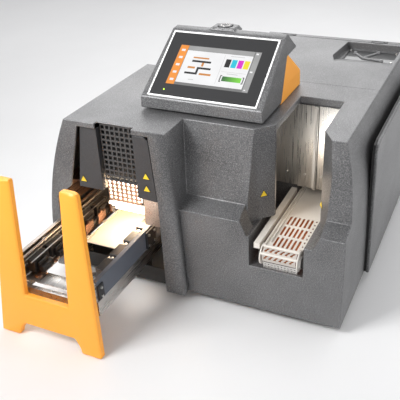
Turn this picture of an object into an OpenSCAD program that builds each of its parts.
// Bench-top card printer with an infrared reflow tower, a pull-out carrier tray and a slotted outfeed.
// Frame: millimetres, +Z up, front faces -Y, origin on the bench under the middle of the whole machine.

/* [Body] */
// Width of the flat top, left edge to right edge
body_w = 480; // [450:1:580]
// Depth from the tower's front face to the back wall
body_d = 600; // [560:1:720]
// Height of the flat top above the bench
body_h = 339; // [325:1:407]
// Depth of the front housing, up to the seam with the rear housing
front_d = 303; // [300:1:364]
// Gap under the body that the feet fill
foot_h = 15; // [12:0.5:18]
// Wall thickness of the moulded shells
wall = 3; // [2.5:0.1:4]
// How far the left flank bulges out at the bottom
flare_l = 68; // [50:1:82]
// How far the right flank bulges out at the bottom
flare_r = 22.5; // [16:0.5:27]

/* [Tower] */
// Width of the reflow tower at the top
tower_w = 198; // [190:1:205]
// Distance the tower stands in front of the lower front face
tower_out = 17.5; // [14:0.5:21]
// Height of the tray mouth's upper edge
mouth_h = 206; // [200:1:212]
// Columns of square holes in the guard
guard_cols = 7; // [5:1:8]
// Rows of square holes in the guard
guard_rows = 11; // [9:1:12]
// Pitch of the square holes
guard_pitch = 9.4; // [8:0.1:9.8]
// Width of one square hole
guard_hole = 6.4; // [5:0.1:7]

/* [Outfeed slot] */
// Width of the outfeed slot
slot_w = 79; // [66:1:95]
// Width of the pillar right of the slot
slot_side = 46; // [40:1:55]
// Depth of the slot behind the tower's front face
slot_back = 232; // [210:1:250]
// Height of the slot's sill
sill_z = 105; // [95:1:112]
// Height of the slotted bed's upper face
bed_z = 147; // [140:1:156]
// Radius of the outfeed rollers
roller_r = 9; // [8:0.5:10]
// Radius of the discs at the ends of the nose roller
disc_r = 12; // [10:0.5:12.5]
// Radius of the roller shafts
shaft_r = 3; // [2.5:0.1:3.5]

/* [Display] */
// Width of the display head at its foot
disp_w = 228; // [210:1:240]
// Length of the sloping face
disp_len = 153; // [145:1:160]
// Tilt of the face from the horizontal, in degrees
disp_tilt = 33.8; // [30:0.1:36]
// Distance of the display from the tower's front face
disp_y = 84; // [80:1:90]
// Radius of the round power button
button_r = 13; // [10:0.5:14]

/* [Tray] */
// Width over the two side plates of the tray
tray_w = 173; // [150:1:178]
// Height of the side plates' upper edge
tray_top = 138; // [134:1:142]
// Height of the side plates
plate_h = 40; // [36:1:44]
// Length of the tray, from the stand to its back end
tray_len = 300; // [270:1:330]
// Height of the slide rails
rail_h = 28; // [22:1:29]

/* [Stand] */
// Height of the orange end stand along its slope
stand_h = 300; // [280:1:305]
// Width of the stand at the bench
stand_w = 210; // [190:1:220]
// Width of the stand at its top
stand_top_w = 154; // [146:1:170]
// Thickness of the stand
stand_t = 15; // [12:0.5:18]
// Backward lean of the stand, in degrees
stand_lean = 6; // [4:0.5:7]
// Distance from the tower's front face to the stand's foot, tray pulled out
stand_out = 191; // [180:1:210]

/* [Rear] */
// Width of the rear housing's top
rear_w = 310; // [290:1:330]
// Thickness of the side door
door_t = 6; // [5:0.5:8]
// Thickness of the seal between the flank and the door
seal_t = 3.5; // [2.5:0.5:5]
// Height of the side door's upper edge
door_top = 300; // [280:1:315]
// Radius of the exhaust fan's frame opening
fan_r = 37; // [32:1:40]

/* [Hidden] */
$fn = 48;
clear = 0.5;
eps = 1;
flank_steps = 12;
bulge_l = 2.3;
bulge_r = 4.5;

// Tower
tower_flare = 17;
groove_w = 2.6;
arch_top = body_h - 10;
arch_l_top = 27;
arch_l_mid = -4;
arch_l_low = -42;
arch_r_top = tower_w - 32;
arch_r_low = tower_w - 23;
notch_l = 63;
notch_r = notch_l + 72;
notch_y = 10;
guard_l = notch_l + 2.5;
guard_r = notch_r - 2.5;
guard_y = notch_y + 3;
sheet = 1.5;

// Centre and outfeed slot
ledge_z = 190;
ledge_back_z = 203;
ledge_y = 53;
recess_y = 70;
slot_r = body_w - slot_side;
slot_l = slot_r - slot_w;
well_l = slot_l - 52;
lip = 12;
notch_front_l = slot_l - 18;
step_z = 164;
cheek_y = 98;
pillar_l = slot_r + 27;
bed_l = slot_l + 4;
bed_r = slot_r - 7;
bed_front = tower_out + 8;
nose_z = bed_z - 12;
drive_y = slot_back + 40;

// Display
disp_x = 222.5;
disp_z = body_h + 4;
band_h = 21;
face_z = disp_z + band_h;
face_back_y = disp_y + disp_len * cos(disp_tilt);
face_top_z = face_z + disp_len * sin(disp_tilt);
head_back_y = face_back_y + 62;
head_back_z = face_top_z - 33;
strip_y = face_back_y + 17;
head_taper = 7;
crease_z = body_h + 28;
active_w = 154;
active_h = 86;
active_up = 32.5;
frame_side = 24.5;
frame_low = 4.7;
frame_top = disp_len - 5.6;
button_x = disp_x - 12;
button_y = strip_y + 4;
pad_z = face_top_z + 6;

// Tray and stand
tray_x = 55.5;
tray_l = tray_x - tray_w / 2;
tray_r = tray_x + tray_w / 2;
stand_x = 48;
tray_y = -stand_out + stand_t + 20;
tray_back = tray_y + tray_len;
plate_z = tray_top - plate_h;
rail_z = plate_z - rail_h;
rail_gap = 0.6;
slide_t = 3.8;
channel_w = 12;
foot_cut = 27;
cross_h = 60;
arm_in = 44.5;
arm_in_top = 48;

// Rear housing, side door and lid
rear_l = body_w - rear_w - 7;
rear_y = front_d + 2;
door_x = body_w + flare_r + seal_t;
door_y = 191;
door_lean = 32;
hinge_r = 4;
hinge_y = body_d - 6;
door_end = hinge_y - hinge_r - 4;
lid_end = body_d - 18;
lid_gap = 0.4;
lid_swing_gap = 1.9;
window_l = slot_l - 8;
window_r = body_w - 8;
window_y = front_d + 130;
window_end = lid_end - 8;
ramp_end = window_y + 66;
well_d = 16;
hinge_xs = [rear_l + 40, body_w - 70];
rods_y = (front_d + body_d) / 2 + 1.5;
supply_l = rear_l + 75;
lid_hinge_y = lid_end + 6;
lid_t = 4;
fan_x = 70;
fan_z = 250;

// Whole machine
x_lo = -flare_l;
x_hi = door_x + hinge_r + max(door_t - hinge_r, hinge_r);
y_lo = -stand_out;
y_hi = body_d;
x_mid = (x_lo + x_hi) / 2;
y_mid = (y_lo + y_hi) / 2;

// A share of the body's height, 0 at the lower edge and 1 at the top
function rise(z) = max(0, (z - foot_h) / (body_h - foot_h));
function left_x(z) = -flare_l * (1 - pow(rise(z), bulge_l));
function right_x(z) = body_w + flare_r * (1 - pow(rise(z), bulge_r));
function flank_z(k, lo, hi) = lo + (hi - lo) * k / flank_steps;
function left_edge(i, lo, hi) =
  [for (k = [0:flank_steps]) [left_x(flank_z(k, lo, hi)) + i, flank_z(k, lo, hi)]];
function right_edge(i, lo, hi) =
  [for (k = [flank_steps:-1:0]) [right_x(flank_z(k, lo, hi)) - i, flank_z(k, lo, hi)]];
function centre_front(i) = [
  [tower_out + i, ledge_z - i / 3], [ledge_y + i, ledge_back_z - i / 3], [recess_y + i, body_h - i]];

function tower_side(z) = tower_w + tower_flare * (1 - rise(z));

module place() translate([-x_mid, -y_mid, 0]) children();
module box(lo, hi) translate(lo) cube(hi - lo);
module along_x(a, b) translate([a, 0, 0]) rotate([90, 0, 90]) linear_extrude(b - a) children();
module along_y(a, b) translate([0, b, 0]) rotate([90, 0, 0]) linear_extrude(b - a) children();
module along_z(a, b) translate([0, 0, a]) linear_extrude(b - a) children();
module rod_x(a, b, y, z, r) translate([a, y, z]) rotate([0, 90, 0]) cylinder(h = b - a, r = r);
module rod_y(a, b, x, z, r) translate([x, a, z]) rotate([-90, 0, 0]) cylinder(h = b - a, r = r);
module rod_z(a, b, x, y, r) translate([x, y, a]) cylinder(h = b - a, r = r);

// The tower's block, inset by i on its sides and top
module tower_block(i, y0, lo) {
  along_y(y0, front_d) polygon(concat(left_edge(i, lo, body_h - i),
    [[tower_w - i, body_h - i], [tower_w + tower_flare - i, lo]]));
}

// The part right of the tower: lower front, sloped ledge and the leaning recess above it
module centre_block(i, lo, x0, x1) {
  along_x(x0, x1) polygon(concat([[tower_out + i, lo]], centre_front(i),
    [[front_d, body_h - i], [front_d, lo]]));
}

// What the outfeed slot takes out of the front housing
module slot_cut() {
  along_y(-eps, ledge_y + eps) polygon([[notch_front_l - 5, step_z], [notch_front_l - 19, ledge_z + 5],
    [notch_front_l - 19, body_h + eps], [pillar_l - 3, body_h + eps], [pillar_l - 3, ledge_z - 2],
    [slot_r + 13, step_z], [slot_r - 1, step_z], [slot_r - 1, sill_z], [notch_front_l, sill_z],
    [notch_front_l, step_z]]);
  along_z(sill_z, step_z) polygon([[notch_front_l, ledge_y], [slot_r - 1, ledge_y],
    [slot_r, slot_back], [well_l, slot_back], [well_l, cheek_y + 6], [notch_front_l, cheek_y + 6]]);
  along_z(step_z, body_h - lip) polygon([[slot_l - 35, ledge_y - eps], [slot_l - 28, recess_y],
    [slot_l, cheek_y], [slot_l, cheek_y + 6], [well_l, cheek_y + 6], [well_l, slot_back],
    [slot_r, slot_back], [slot_r + 2, cheek_y + 3], [pillar_l, recess_y - 8],
    [pillar_l - 3, ledge_y - eps]]);
  along_z(body_h - lip - eps, body_h + eps) polygon([[slot_l - 35, ledge_y - eps],
    [slot_l - 28, recess_y], [slot_l, cheek_y], [slot_l, slot_back], [slot_r, slot_back],
    [slot_r + 2, cheek_y + 3], [pillar_l, recess_y - 8], [pillar_l - 3, ledge_y - eps]]);
}

module front_housing() {
  place() color("#55565a") difference() {
    union() {
      tower_block(0, 0, foot_h);
      intersection() {
        centre_block(0, foot_h, tower_w - 20, body_w + flare_r + eps);
        along_y(0, front_d) polygon(concat(left_edge(0, foot_h, body_h), right_edge(0, foot_h, body_h)));
      }
    }
    slot_cut();
    // hollow of the tower
    translate([0, eps, 0]) tower_block(wall, wall, foot_h - eps);
    // hollow left of the slot, below it, behind it and inside the right pillar
    translate([0, eps, 0]) centre_block(wall, foot_h - eps, tower_w - 20, well_l - wall);
    box([well_l - wall - eps, tower_out + wall, foot_h - eps],
      [slot_r + wall + eps, front_d + eps, sill_z - wall]);
    box([well_l - wall - eps, slot_back + wall, sill_z - wall - eps],
      [slot_r + wall + 4, front_d + eps, body_h - wall]);
    intersection() {
      centre_block(wall, foot_h - eps, slot_r + wall, body_w + flare_r + eps);
      along_y(0, front_d + eps) polygon(concat(left_edge(wall, foot_h - eps, body_h - wall),
        right_edge(wall, foot_h - eps, body_h - wall)));
      union() {
        box([slot_r + wall, tower_out + wall, foot_h - eps],
          [body_w + flare_r, front_d + eps, step_z - wall]);
        box([slot_r + wall + 2, cheek_y + 6, foot_h - eps], [body_w + flare_r, front_d + eps, body_h]);
      }
    }
    translate([0, front_d - eps, 0]) box([slot_r + wall, 0, foot_h - eps],
      [body_w - wall, 2 * eps, body_h - wall]);
    // groove between the tower and the lower front
    along_y(tower_out - eps, tower_out + 2) polygon([[tower_side(ledge_z - 2), ledge_z - 2],
      [tower_side(ledge_z - 2) + groove_w, ledge_z - 2], [tower_side(foot_h) + groove_w, foot_h - eps],
      [tower_side(foot_h), foot_h - eps]]);
    // arch opening with the tray mouth, and the notch over the guard
    along_y(-eps, wall + eps + eps) polygon([[arch_l_top, arch_top], [arch_r_top, arch_top],
      [arch_r_low, mouth_h], [arch_r_low + 3, foot_h - eps], [arch_l_low, foot_h - eps],
      [arch_l_low + 2, mouth_h - 30], [arch_l_mid, mouth_h]]);
    box([notch_l, -eps, arch_top - eps], [notch_r, notch_y, body_h + eps]);
    // doorway for the bed under the chute plates
    box([slot_l + 2, slot_back - eps, sill_z + 8], [slot_r - 2, slot_back + wall + eps, bed_z + 14]);
  }
}

module base_pan() {
  place() color("#2c2d30") difference() {
    union() {
      box([-flare_l + 8, 26, foot_h], [tower_w + 4, front_d - 4, foot_h + 2]);
      box([tower_w + 4, 26, foot_h], [body_w + flare_r - 8, front_d - 4, foot_h + 2]);
      box([rear_l + 5, front_d - 4, foot_h], [body_w + flare_r - 8, body_d - 8, foot_h + 2]);
    }
    for (x = [tower_w + 40, body_w - 30]) rod_z(0, foot_h + 5, x, 60, 2.2);
    for (x = [supply_l, body_w - 30]) rod_z(0, foot_h + 5, x, body_d - 60, 2.2);
    for (x = [-20, tower_w - 40], y = [60, front_d - 30]) rod_z(0, foot_h + 5, x, y, 2.2);
    for (k = [0:9]) box([supply_l + 20 + 16 * k, rear_y + 25, foot_h - 1],
      [supply_l + 26 + 16 * k, rear_y + 115, foot_h + 3]);
  }
}

module rubber_feet() {
  place() color("#161616") {
    for (x = [tower_w + 40, body_w - 30], y = [60, body_d - 60]) one_foot(x, y);
    for (x = [-20, tower_w - 40], y = [60, front_d - 30]) one_foot(x, y);
  }
}
module one_foot(x, y) {
  translate([x, y, 0]) rotate_extrude()
    polygon([[0, 2], [5, 2], [5, 0], [12, 0], [14, 3], [14, foot_h], [0, foot_h]]);
}

module tower_left_panel() {
  place() color("#4a4b4f") {
    along_y(5, 5 + wall) polygon([[arch_l_top + 3, arch_top - 1], [notch_l - 1, arch_top - 1],
      [notch_l - 1, mouth_h], [arch_l_mid + 15, mouth_h]]);
    box([notch_l - 1 - sheet, 5 + wall, mouth_h], [notch_l - 1, 30, arch_top - 1]);
  }
}

module tower_right_panel() {
  place() color("#4a4b4f") {
    along_y(1, 1 + wall) polygon([[notch_r + 1, arch_top - 1], [arch_r_top - 8, arch_top - 1],
      [arch_r_top - 1, arch_top - 8], [arch_r_low - 1, mouth_h], [notch_r + 1, mouth_h + 2]]);
    box([notch_r + 1, 1 + wall, mouth_h + 2], [notch_r + 1 + sheet, 30, arch_top - 1]);
  }
}

module square_hole_guard() {
  guard_w = guard_cols * guard_pitch;
  guard_top = body_h - wall - 2;
  row_pitch = guard_pitch * 1.03;
  mid = (guard_l + guard_r) / 2;
  place() color("#303134") along_y(guard_y, guard_y + 2) difference() {
    translate([guard_l, guard_top - guard_rows * row_pitch - 2])
      square([guard_r - guard_l, guard_rows * row_pitch + 3.8]);
    for (c = [0:guard_cols - 1], r = [1:guard_rows])
      translate([mid - guard_w / 2 + guard_pitch * (c + 0.5) - guard_hole / 2,
        guard_top - row_pitch * r + 1.5])
        square(guard_hole);
  }
}

module round_hole_guard() {
  hole_pitch = (guard_r - guard_l) / 7;
  place() color("#c8a68c") difference() {
    box([guard_l, guard_y + 3, mouth_h - 24], [guard_r, guard_y + 3 + sheet, mouth_h + 20]);
    for (c = [0:6], r = [0:4])
      rod_y(guard_y + 2, guard_y + 6, guard_l + hole_pitch * (c + 0.5), mouth_h - 17 + 8 * r, 2.8);
  }
}

module mouth_sill() {
  place() color("#3c3d40") box([arch_l_low + 2, 18, foot_h + 2], [arch_r_low - 2, 18 + wall, 50]);
}

module lamp_reflector() {
  place() color("#d8d8d6") difference() {
    box([8, 52, mouth_h + 4], [158, 222, mouth_h + 60]);
    box([8 + sheet, 52 + sheet, mouth_h + 3], [158 - sheet, 222 - sheet, mouth_h + 60 - sheet]);
  }
}

module quartz_lamps() {
  place() color("#f7efe0") for (k = [0:3]) rod_x(18, 148, 76 + 40 * k, mouth_h + 22, 5);
}

module lamp_holders() {
  place() color("#e9e4d8") for (x = [10.5, 148], k = [0:3])
    box([x, 66 + 40 * k, mouth_h + 12], [x + 7.5, 86 + 40 * k, mouth_h + 34]);
}

module liner_left() {
  place() color("#8f6a55") {
    box([arch_l_low + 6, 24, tray_top + 6], [arch_l_low + 6 + sheet, 240, mouth_h]);
    box([arch_l_low + 6 + sheet, 24, mouth_h - sheet], [notch_l - 22, 240, mouth_h]);
  }
}

module liner_right() {
  place() color("#b9b3ac") {
    box([arch_r_low - 6, 14, 56], [arch_r_low - 6 + sheet, 240, mouth_h]);
    box([notch_r + 3, 14, tray_top + 8], [arch_r_low - 6, 14 + sheet, mouth_h]);
    box([notch_r + 8, 14 + sheet, mouth_h - sheet], [arch_r_low - 6, 240, mouth_h]);
  }
}

module guide_posts() {
  place() color("#dadada") {
    rod_z(tray_top + 8, mouth_h + 4, notch_l - 5, 34, 3);
    rod_z(tray_top + 8, mouth_h + 4, notch_l - 5, 214, 3);
  }
}

// Slide rails: x is the inner face, dir is +1 for the right side and -1 for the left
module rail_bar(x, dir, y0, y1, z0, z1, t) {
  a = min(x, x + dir * t);
  box([a, y0, z0], [a + t, y1, z1]);
}

module fixed_rails() {
  place() color("#9a9ca0") for (dir = [-1, 1]) {
    x = (dir > 0 ? tray_r : tray_l) - dir * (sheet + 2 * rail_gap + slide_t);
    rail_bar(x, -dir, 24, 286, rail_z + sheet + 2, rail_z + rail_h - sheet - 2, slide_t);
    // feet down to the base pan, inboard of the channel and clear of the cross bar's travel
    for (y = [28, 268]) {
      rail_bar(x - dir * slide_t, -dir, y, y + 16, rail_z + 6, rail_z + 18, 8);
      rail_bar(x - dir * (channel_w - 2), -dir, y, y + 16, foot_h + 2, rail_z + 18, 5);
    }
  }
}

module middle_rails() {
  place() color("#c9c9c7") for (dir = [-1, 1]) {
    x = (dir > 0 ? tray_r : tray_l) - dir * (sheet + rail_gap);
    rail_bar(x, -dir, -70, 190, rail_z + sheet + 1, rail_z + rail_h - sheet - 1, slide_t);
  }
}

module tray_rails() {
  place() color("#e4e2de") for (dir = [-1, 1]) {
    x = dir > 0 ? tray_r : tray_l;
    difference() {
      rail_bar(x, -dir, tray_y - 6, tray_back, rail_z, rail_z + rail_h, channel_w);
      rail_bar(x - dir * sheet, -dir, tray_y + 2, tray_back + eps, rail_z + sheet,
        rail_z + rail_h - sheet,
        channel_w);
    }
  }
}

module tray_plate_right() {
  place() color("#7a8089") {
    rail_bar(tray_r, -1, tray_y - 4, tray_back, plate_z, tray_top, 2);
    rail_bar(tray_r - 2, -1, tray_y - 4, tray_back, tray_top - 2, tray_top, 6);
  }
}

module tray_plate_left() {
  place() color("#a39c95") {
    rail_bar(tray_l, 1, tray_y - 4, tray_back, plate_z, tray_top + 2, 2);
    rail_bar(tray_l + 2, 1, tray_y - 4, tray_back, tray_top, tray_top + 2, 5);
  }
}

module tray_crossbars() {
  place() color("#8c8a86") {
    box([tray_l + channel_w, tray_y - 6, rail_z + 4], [tray_r - channel_w, tray_y + 2, rail_z + 20]);
    box([tray_l + channel_w, tray_back - 8, rail_z], [tray_r - channel_w, tray_back, rail_z + rail_h]);
    // blocks that carry the end stand
    for (x = [tray_l + channel_w + 5, tray_r - channel_w - 20]) difference() {
      box([x - 8, tray_y - 18, rail_z + 4], [x + 8, tray_y - 6, rail_z + 20]);
      translate([0, -stand_out, 0]) rotate([-stand_lean, 0, 0])
        box([x - 20, -40, 0], [x + 20, stand_t + 0.2, stand_h]);
    }
  }
}

module heat_tray() {
  floor_z = plate_z - 6;
  floor_y = tray_y + 147;
  floor_l = tray_l + 48;
  floor_r = tray_r - 30;
  floor_back = tray_back - 12;
  place() color("#efe6d8") {
    along_z(floor_z, floor_z + 2) polygon([[floor_l, floor_y], [floor_r - 28, floor_y],
      [floor_r - 28, floor_y - 43], [floor_r, floor_y - 43], [floor_r, floor_back], [floor_l, floor_back]]);
    box([floor_l, floor_y, floor_z + 2], [floor_l + 2, floor_back, floor_z + 7]);
    // straps at each side that step up and rest on the channels
    for (y = [floor_y - 31, floor_back - 72]) {
      box([floor_r, y, floor_z], [tray_r - channel_w - 2, y + 12, floor_z + 2]);
      box([tray_r - channel_w - 4, y, floor_z], [tray_r - channel_w - 2, y + 12, plate_z + 1.8]);
      box([tray_r - channel_w - 4, y, plate_z], [tray_r - 2, y + 12, plate_z + 1.8]);
    }
    for (y = [floor_y + 9, floor_back - 72]) {
      box([tray_l + channel_w + 2, y, floor_z], [floor_l, y + 12, floor_z + 2]);
      box([tray_l + channel_w + 2, y, floor_z], [tray_l + channel_w + 4, y + 12, plate_z + 1.8]);
      box([tray_l + 2, y, plate_z], [tray_l + channel_w + 4, y + 12, plate_z + 1.8]);
    }
  }
}

module clamp_blocks() {
  place() color("#1a1716") for (k = [0:3])
    box([tray_r - 27, tray_y + 34 + 46 * k, plate_z + 2],
      [tray_r - 9, tray_y + 68 + 46 * k, tray_top - 4]);
}

module left_pads() {
  place() color("#242220") for (k = [0:floor((tray_len - 58) / 50)])
    box([tray_l + 12, tray_y + 22 + 50 * k, plate_z + 2],
      [tray_l + 27, tray_y + 64 + 50 * k, tray_top - 14]);
}

module comb_strip() {
  place() color("#c79a7c") {
    box([tray_l + 28, tray_y + 16, plate_z - 1], [tray_l + 34, tray_back - 34, plate_z + 1.5]);
    for (k = [0:floor((tray_len - 56) / 16)]) box([tray_l + 34, tray_y + 18 + 16 * k, plate_z - 1],
      [tray_l + 39, tray_y + 22 + 16 * k, plate_z + 1.5]);
  }
}

module press_rod() {
  place() color("#c4bcb2") {
    rod_y(tray_y + 2.5, tray_back - 8.5, tray_l + 10, tray_top - 6, 3);
    for (y = [tray_y + 72, tray_y + 172]) rod_y(y, y + 8, tray_l + 10, tray_top - 6, 4.6);
  }
}

module tray_brackets() {
  place() color("#202022") {
    box([tray_r, 2, plate_z + 1.5], [tray_r + 4, 34, tray_top - 3]);
    box([tray_r, tray_y - 4, plate_z + 4], [tray_r + 3, tray_y + 12, tray_top - 8]);
  }
}

module tray_bolts() {
  place() color("#dcdcdc") {
    for (y = [8, 28], z = [plate_z + 8, tray_top - 10]) rod_x(tray_r + 4, tray_r + 6.5, y, z, 2.6);
    for (z = [plate_z + 9, tray_top - 14]) rod_x(tray_r + 3, tray_r + 5.2, tray_y + 4, z, 2.4);
  }
}

// Outline of the end stand: two arms, a cross bar and two feet
module stand_outline() {
  half = stand_w / 2;
  half_top = stand_top_w / 2;
  difference() {
    polygon([[-half - 1, -10], [half + 1, -10], [half_top + 3, stand_h - 5], [half_top - 3, stand_h],
      [-half_top + 3, stand_h], [-half_top - 3, stand_h - 5]]);
    polygon([[-arm_in, foot_cut + cross_h], [arm_in, foot_cut + cross_h], [arm_in_top, stand_h + 1],
      [-arm_in_top, stand_h + 1]]);
    polygon([[-68, -11], [68, -11], [62, 12], [53, foot_cut], [-53, foot_cut], [-62, 12]]);
  }
}

module end_stand() {
  place() color("#ff9a20") difference() {
    translate([stand_x, -stand_out, 0]) rotate([-stand_lean, 0, 0])
      along_y(0, stand_t) stand_outline();
    box([-300, -400, -60], [400, 0, 0]);
  }
}

module outfeed_bed() {
  slot_pitch = 7.9;
  place() color("#f1ede6") difference() {
    box([bed_l, bed_front, bed_z - 1.5], [bed_r, drive_y - roller_r - 6, bed_z]);
    for (c = [0:5], r = [0:2])
      box([bed_l + 15 + slot_pitch * c, bed_front + 6 + 36 * r, bed_z - 3],
        [bed_l + 19.2 + slot_pitch * c, bed_front + 36 + 36 * r, bed_z + 1]);
    for (r = [0:8]) box([bed_r - 5.4, bed_front + 6 + 12 * r, bed_z - 3],
      [bed_r - 2.4, bed_front + 11 + 12 * r, bed_z + 1]);
  }
}

module outfeed_nose() {
  r0 = 22;
  place() color("#f4f0ea") difference() {
    along_x(bed_l + 5, bed_r - 5) difference() {
      polygon([[bed_front - 1, bed_z], [bed_front - 1, bed_z - 3], [bed_front - 8, bed_z - 6],
        [bed_front - 12, bed_z - 14], [bed_front - 11, bed_z - 28], [bed_front - 4, sill_z + 1],
        [bed_front - 7, sill_z + 1], [bed_front - 14, bed_z - 28], [bed_front - 15, bed_z - 13],
        [bed_front - 9, bed_z - 3]]);
    }
    for (k = [0:5], z = [bed_z - 13, bed_z - 25])
      box([bed_l + 11 + 10 * k, bed_front - 20, z], [bed_l + 16 + 10 * k, bed_front - 5, z + 5]);
  }
}

module side_guides() {
  place() color("#eeeae4") {
    box([slot_l - 10, bed_front - 6, bed_z - 4], [slot_l + 1, slot_back - 6, bed_z + 7]);
    box([bed_l + 3, bed_front, bed_z], [bed_l + 5, slot_back + 20, bed_z + 4]);
    box([bed_l + 9, bed_front + 14, bed_z], [bed_l + 11, slot_back + 20, bed_z + 4]);
  }
}

module nose_roller() {
  place() color("#d9d7d3") difference() {
    union() {
      rod_x(bed_l - 6, bed_r + 5.4, bed_front + 2, nose_z - 6, shaft_r);
      for (x = [bed_l - 2, bed_r - 2]) rod_x(x, x + 4, bed_front + 2, nose_z - 6, disc_r);
      for (x = [bed_l + 18, bed_r - 26]) rod_x(x, x + 8, bed_front + 2, nose_z - 6, roller_r - 1);
    }
    for (x = [bed_l - 2, bed_r - 2], a = [0:60:300]) translate([0, bed_front + 2, nose_z - 6])
      rotate([a, 0, 0]) rod_x(x - 1, x + 5, 0, 7.5, 1.6);
  }
}

module drive_roller() {
  place() color("#c9c7c3") {
    rod_x(bed_l - 6, bed_r + 14, drive_y, nose_z - 6, shaft_r);
    for (x = [bed_l + 18, bed_r - 26]) rod_x(x, x + 8, drive_y, nose_z - 6, roller_r - 1);
    rod_x(bed_r + 8, bed_r + 13, drive_y, nose_z - 6, roller_r + 2);
  }
}

module outfeed_belts() {
  y0 = bed_front + 2;
  z0 = nose_z - 6;
  r = roller_r - 1 + 0.3;
  place() color("#3a3532") for (x = [bed_l + 19, bed_r - 25]) difference() {
    union() {
      box([x, y0, z0 - r - 1], [x + 6, drive_y, z0 + r + 1]);
      rod_x(x, x + 6, y0, z0, r + 1);
      rod_x(x, x + 6, drive_y, z0, r + 1);
    }
    box([x - 1, y0, z0 - r], [x + 7, drive_y, z0 + r]);
    rod_x(x - 1, x + 7, y0, z0, r);
    rod_x(x - 1, x + 7, drive_y, z0, r);
  }
}

module roller_bearings() {
  place() color("#2b2b2d") for (y = [bed_front + 2, drive_y], x = [bed_l - 6, bed_r + 2.2]) difference() {
    box([x, y - 6, nose_z - 14], [x + 3.2, y + 6, nose_z + 2]);
    rod_x(x - 1, x + 5, y, nose_z - 6, shaft_r + 0.05);
  }
}

module outfeed_motor() {
  place() color("#3b3c40") {
    box([bed_l - 2, drive_y + 4, 40], [bed_l + 40, drive_y + 25, 82]);
    rod_x(bed_l + 40, bed_l + 60, drive_y + 14, 61, 2.5);
  }
}

module chute_plates() {
  top = body_h - lip - 2;
  place() color("#c3c1bd") {
    box([well_l + 2, slot_back - 3, bed_z + 12], [slot_l - 1, slot_back - 1, top]);
    box([slot_l, slot_back - 4, bed_z + 10], [slot_l + 28, slot_back - 2, top]);
    box([slot_l + 29, slot_back - 7, bed_z + 8], [slot_l + 36, slot_back - 2, top]);
    box([slot_l + 37, slot_back - 4, bed_z + 10], [slot_r - 2, slot_back - 2, top]);
  }
}

module chute_screws() {
  place() color("#e8e8e8") {
    for (x = [slot_l - 22, slot_l + 14]) rod_y(slot_back - 6.2, slot_back - 4, x, bed_z + 38, 2.2);
    rod_y(slot_back - 6.2, slot_back - 4, slot_l + 46, bed_z + 38, 2.2);
  }
}

// Cover over the back of the tower, with the fan's grille
module tower_back() {
  place() color("#4a4b4f") difference() {
    intersection() {
      box([-flare_l, front_d - 2, foot_h + 3], [rear_l - 1, front_d, body_h - wall - clear]);
      translate([0, eps, 0]) tower_and_left(wall + clear, foot_h);
    }
    for (k = [-5:5]) box([fan_x - sqrt(fan_r * fan_r - 36 * k * k) + 3, front_d - 3, fan_z + 6 * k - 1.8],
      [fan_x + sqrt(fan_r * fan_r - 36 * k * k) - 3, front_d + 1, fan_z + 6 * k + 1.8]);
    for (k = [0:9]) box([fan_x - 60 + 12 * k, front_d - 3, 60], [fan_x - 54 + 12 * k, front_d + 1, 130]);
  }
}

// The body's outline left of the rear housing, for the back cover
module tower_and_left(i, lo) {
  along_y(0, front_d) polygon(concat(left_edge(i, lo, body_h - i), [[rear_l - 1, body_h - i],
    [rear_l - 1, lo]]));
}

// Keeps the head's sides leaning in towards the top
module head_sides(grow) {
  half = disp_w / 2 + grow;
  along_y(0, body_d) polygon([[disp_x - half, body_h], [disp_x + half, body_h],
    [disp_x + half - head_taper, face_top_z + 8], [disp_x - half + head_taper, face_top_z + 8]]);
}

// Sides of the wedge: upright up to a crease, then leaning in
module stand_sides() {
  half = disp_w / 2 - 1.5;
  along_y(0, body_d) polygon([[disp_x - half, body_h], [disp_x + half, body_h], [disp_x + half, crease_z],
    [disp_x + half - 13, face_top_z], [disp_x - half + 13, face_top_z], [disp_x - half, crease_z]]);
}

// Wedge behind the head that holds it on the housing's top
module display_stand() {
  place() color("#ff9a20") intersection() {
    along_x(disp_x - disp_w / 2 - 1, disp_x + disp_w / 2 + 1) polygon([[disp_y + 96, body_h],
      [disp_y + 206, body_h], [disp_y + 204, disp_z + 26], [disp_y + 152, head_back_z - 4],
      [face_back_y + 8.5, head_back_z - 4], [disp_y + 96, disp_z]]);
    stand_sides();
  }
}

module display_head() {
  place() color("#3f4043") difference() {
    intersection() {
      union() {
        along_x(disp_x - disp_w / 2, disp_x + disp_w / 2) polygon([[disp_y, disp_z], [disp_y, face_z],
          [face_back_y, face_top_z], [strip_y, face_top_z + 2], [head_back_y, head_back_z],
          [face_back_y + 8, head_back_z - 2.5], [disp_y + 95, disp_z]]);
      }
      head_sides(0);
    }
    // hollow for the screen and the boards
    on_face() box([-disp_w / 2 + 14, 8, -16], [disp_w / 2 - 14, disp_len - 10, -3.2]);
    on_face() box([-active_w / 2 - frame_side, frame_low, -3.2],
      [active_w / 2 + frame_side, frame_top, 1]);
    rod_z(face_top_z - 12, face_top_z + 10, button_x, button_y, button_r + 0.5);
  }
  place() color("#3f4043") difference() {
    along_y(button_y - 15, button_y + 13) polygon([[button_x - 29, face_top_z - 2],
      [button_x + 29, face_top_z - 2],
      [button_x + 21, pad_z], [button_x - 21, pad_z]]);
    rod_z(face_top_z - 3, pad_z + 1, button_x, button_y, button_r + 0.5);
  }
}

// Places children on the sloping face: x across, y up the slope, z out of the face
module on_face() translate([disp_x, disp_y, face_z]) rotate([disp_tilt, 0, 0]) children();

module display_frame() {
  w = active_w / 2 + frame_side;
  place() color("#f4f4f4") on_face() difference() {
    box([-w + 0.3, frame_low + 0.3, -3.2], [w - 0.3, frame_top - 0.3, 0.6]);
    box([-w + 2.8, frame_low + 2.8, -4], [w - 2.8, frame_top - 2.8, 1]);
  }
}

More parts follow.
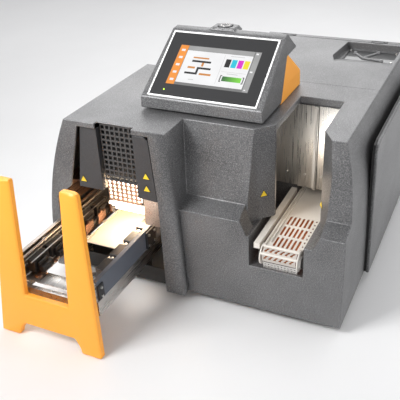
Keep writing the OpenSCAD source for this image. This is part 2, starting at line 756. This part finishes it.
module display_glass() {
  w = active_w / 2 + frame_side;
  place() color("#17181a") on_face() box([-w + 3, frame_low + 3, -1.2], [w - 3, frame_top - 3, 0.2]);
}

module screen_panel() {
  place() color("#f2f2f2") on_face() box([-active_w / 2, active_up, -3.2],
    [active_w / 2, active_up + active_h, -1.2]);
}

module status_led() {
  place() color("#b7e04a") on_face() rod_z(0.2, 0.9, -active_w / 2 + 3, active_up - 13, 1.4);
}

module power_button() {
  place() color("#6a6b6e") {
    rod_z(face_top_z - 4, pad_z + 1, button_x, button_y, button_r);
    rod_z(face_top_z - 9, face_top_z - 4, button_x, button_y, 4);
  }
}

// Rear housing: full depth behind the right part of the front housing
module rear_block(i, lo, y0, y1) {
  along_y(y0, y1) polygon(concat([[rear_l + i, lo], [rear_l + i, body_h - i]],
    right_edge(i, lo, body_h - i)));
}

module rear_housing() {
  place() color("#55565a") difference() {
    rear_block(0.6, foot_h, rear_y, body_d);
    rear_block(wall, foot_h - eps, rear_y - eps, body_d - wall);
    // seat of the lid, and the pockets of its hinges
    box([rear_l - eps, rear_y - eps, body_h - lid_t - lid_gap],
      [body_w + flare_r, lid_end + lid_swing_gap, body_h + eps]);
    for (x = hinge_xs) box([x - 7, lid_end - eps, body_h - wall - eps],
      [x + 27, lid_end + 13, body_h + eps]);
    // openings in the back wall: inlet, switch and air slots
    box([rear_l + 40, body_d - wall - eps, 50], [rear_l + 68, body_d + eps, 74]);
    box([rear_l + 84, body_d - wall - eps, 50], [rear_l + 98, body_d + eps, 74]);
    for (k = [0:11]) box([rear_l + 130 + 10 * k, body_d - wall - eps, 50],
      [rear_l + 134 + 10 * k, body_d + eps, 130]);
  }
}

// Outline of the sunken window, grown outwards by g
function window_shape(g) = [[window_l + 15 - g, window_y - g], [window_r + g, window_y - g],
  [window_r + g, window_end + g], [window_l + 8 - g, window_end + g], [window_l - g, window_y + 44]];

// Top cover of the rear housing, with a sunken window, hinged along its back edge
module rear_lid() {
  place() color("#55565a") {
    difference() {
      union() {
        intersection() {
          rear_block(0.6, foot_h, rear_y, lid_end);
          box([rear_l, rear_y, body_h - lid_t], [body_w + flare_r, lid_end, body_h]);
        }
        along_z(body_h - well_d - 4, body_h - 2) polygon(window_shape(2));
      }
      difference() {
        along_z(body_h - well_d, body_h + eps) polygon(window_shape(0));
        // ramp down to the window
        along_x(window_l - eps, window_r + eps) polygon([[window_y - eps, body_h], [window_y, body_h],
          [ramp_end, body_h - well_d + 1], [ramp_end, body_h - well_d - eps],
          [window_y - eps, body_h - well_d - eps]]);
      }
      box([window_l + 14, ramp_end, body_h - well_d - 5], [window_r - 4, window_end - 4, body_h]);
    }
    for (x = hinge_xs) difference() {
      union() {
        rod_x(x, x + 20, lid_hinge_y, body_h - 4, hinge_r);
        box([x, lid_end - 2, body_h - 4], [x + 20, lid_hinge_y, body_h - 0.5]);
      }
      rod_x(x - 1, x + 21, lid_hinge_y, body_h - 4, 1.55);
    }
  }
}

module lid_window() {
  place() color([0.2, 0.21, 0.22, 0.7])
    box([window_l + 14, ramp_end, body_h - well_d - 3],
      [window_r - 4, window_end - 4, body_h - well_d - 1]);
}

module lid_hinge() {
  place() color("#b8b8b8") for (x = hinge_xs) {
    rod_x(x - 6, x + 26, lid_hinge_y, body_h - 4, 1.5);
    for (xx = [x - 6, x + 20.6]) {
      difference() {
        box([xx, lid_hinge_y - 3, body_h - 9], [xx + 5.4, lid_hinge_y + 5.9, body_h - 0.8]);
        rod_x(xx - 1, xx + 7, lid_hinge_y, body_h - 4, 1.5);
      }
      box([xx, lid_hinge_y + 6, body_h - 20], [xx + 5.4, lid_hinge_y + 7, body_h - 0.8]);
    }
  }
}

module carriage_rods() {
  place() color("#cfcfcf") {
    for (y = [rods_y, rods_y + 70]) rod_x(rear_l + 10, body_w - 10, y, body_h - 70, 5);
    for (x = [rear_l + 6, body_w - 18]) difference() {
      box([x, rods_y - 14, body_h - 84], [x + 8, rods_y + 84, body_h - 56]);
      for (y = [rods_y, rods_y + 70]) rod_x(x - 1, x + 9, y, body_h - 70, 5);
    }
  }
}

module print_carriage() {
  x0 = window_l - 2;
  place() {
    color("#3a3b3e") difference() {
      box([x0, rods_y - 14, body_h - 82], [x0 + 76, rods_y + 84, body_h - 42]);
      for (y = [rods_y, rods_y + 70]) rod_x(x0 - 1, x0 + 77, y, body_h - 70, 5.4);
      for (k = [0:3]) box([x0 + 5 + 17 * k, rods_y + 12, body_h - 62],
        [x0 + 19 + 17 * k, rods_y + 58, body_h - 41]);
    }
    color("#1d1d1f") for (k = [0:3])
      box([x0 + 5.5 + 17 * k, rods_y + 12.5, body_h - 61.5],
        [x0 + 18.5 + 17 * k, rods_y + 57.5, body_h - 36]);
  }
}

module side_door() {
  place() color("#696a6d") {
    along_x(door_x, door_x + door_t) polygon([[door_y, foot_h + 2], [door_end, foot_h + 2],
      [door_end, door_top], [door_y - door_lean + 26, door_top], [door_y - door_lean + 9, door_top - 4],
      [door_y - door_lean, door_top - 15]]);
    for (z = [60, 240]) difference() {
      union() {
        rod_z(z, z + 24, door_x + hinge_r, hinge_y, hinge_r);
        box([door_x + hinge_r - 2, door_end - eps, z], [door_x + hinge_r + 2, hinge_y, z + 24]);
      }
      rod_z(z - 1, z + 25, door_x + hinge_r, hinge_y, 1.55);
    }
  }
}

module door_gasket() {
  y0 = door_y - door_lean;
  place() color("#0e0e0f") along_x(door_x - seal_t, door_x - 0.4) polygon([[door_y + 2, foot_h + 3],
    [door_y + 8, foot_h + 3], [y0 + 8, door_top - 17], [y0 + 28, door_top - 7],
      [door_end - 8, door_top - 7],
    [door_end - 8, door_top - 2], [y0 + 26, door_top - 2], [y0 + 10, door_top - 6],
      [y0 + 2, door_top - 16]]);
}

module door_hinge() {
  place() color("#a9a9ab") for (z = [60, 240]) {
    rod_z(z - 8, z + 32, door_x + hinge_r, hinge_y, 1.5);
    for (zz = [z - 8, z + 25]) difference() {
      box([right_x(zz) - 0.5, hinge_y - 4, zz], [door_x + hinge_r + 2, hinge_y + 4, zz + 7]);
      rod_z(zz - 1, zz + 8, door_x + hinge_r, hinge_y, 1.5);
    }
  }
}

module exhaust_fan() {
  half = fan_r + 4;
  place() color("#1f2022") {
    difference() {
      box([fan_x - half, front_d - 26, fan_z - half], [fan_x + half, front_d - 2, fan_z + half]);
      rod_y(front_d - 27, front_d - 1, fan_x, fan_z, fan_r);
    }
    for (a = [-45, 45]) translate([fan_x, 0, fan_z]) rotate([0, a, 0])
      box([-fan_r - 1, front_d - 4, -2], [fan_r + 1, front_d - 2, 2]);
  }
}

module fan_rotor() {
  place() color("#2a2b2e") {
    rod_y(front_d - 24, front_d - 5, fan_x, fan_z, 13);
    for (a = [0:45:315]) translate([fan_x, front_d - 14, fan_z]) rotate([0, a, 0])
      rotate([28, 0, 0]) translate([12, -1, -8]) cube([fan_r - 16, 2, 16]);
  }
}

module power_inlet() {
  place() color("#121213") difference() {
    union() {
      box([rear_l + 40.3, body_d - 22, 50.3], [rear_l + 67.7, body_d - wall, 73.7]);
      box([rear_l + 40.3, body_d - wall, 50.3], [rear_l + 67.7, body_d, 73.7]);
    }
    box([rear_l + 43, body_d - 17, 53], [rear_l + 65, body_d + 1, 71]);
  }
  place() color("#d5b36a") for (x = [48, 54, 60])
    box([rear_l + x - 1, body_d - 17, 60 + (x == 54 ? 4 : 0)],
      [rear_l + x + 1, body_d - 5, 64 + (x == 54 ? 4 : 0)]);
}

module rocker_switch() {
  place() color("#171718") difference() {
    along_x(rear_l + 85.2, rear_l + 96.8) polygon([[body_d - 8, 55], [body_d - 1.5, 54],
      [body_d - 3.5, 62], [body_d - 1.5, 70], [body_d - 8, 69], [body_d - 13, 62]]);
    rod_x(rear_l + 84, rear_l + 98, body_d - 8, 62, 1.2);
  }
}

module power_supply() {
  place() color("#a7a9ab") difference() {
    box([supply_l, front_d + 40, foot_h + 4], [supply_l + 110, front_d + 220, foot_h + 52]);
    for (k = [0:7]) box([supply_l + 12 + 12 * k, front_d + 39, foot_h + 14],
      [supply_l + 18 + 12 * k, front_d + 50, foot_h + 44]);
  }
}

base_pan();
rubber_feet();
front_housing();
tower_left_panel();
tower_right_panel();
square_hole_guard();
round_hole_guard();
mouth_sill();
lamp_reflector();
quartz_lamps();
lamp_holders();
liner_left();
liner_right();
guide_posts();
fixed_rails();
middle_rails();
tray_rails();
tray_plate_right();
tray_plate_left();
tray_crossbars();
heat_tray();
clamp_blocks();
left_pads();
comb_strip();
press_rod();
tray_brackets();
tray_bolts();
end_stand();
outfeed_bed();
outfeed_nose();
side_guides();
nose_roller();
drive_roller();
outfeed_belts();
roller_bearings();
outfeed_motor();
chute_plates();
chute_screws();
tower_back();
display_stand();
display_head();
display_glass();
display_frame();
screen_panel();
status_led();
power_button();
rear_housing();
rear_lid();
lid_window();
lid_hinge();
print_carriage();
carriage_rods();
side_door();
door_gasket();
door_hinge();
exhaust_fan();
fan_rotor();
power_inlet();
rocker_switch();
power_supply();
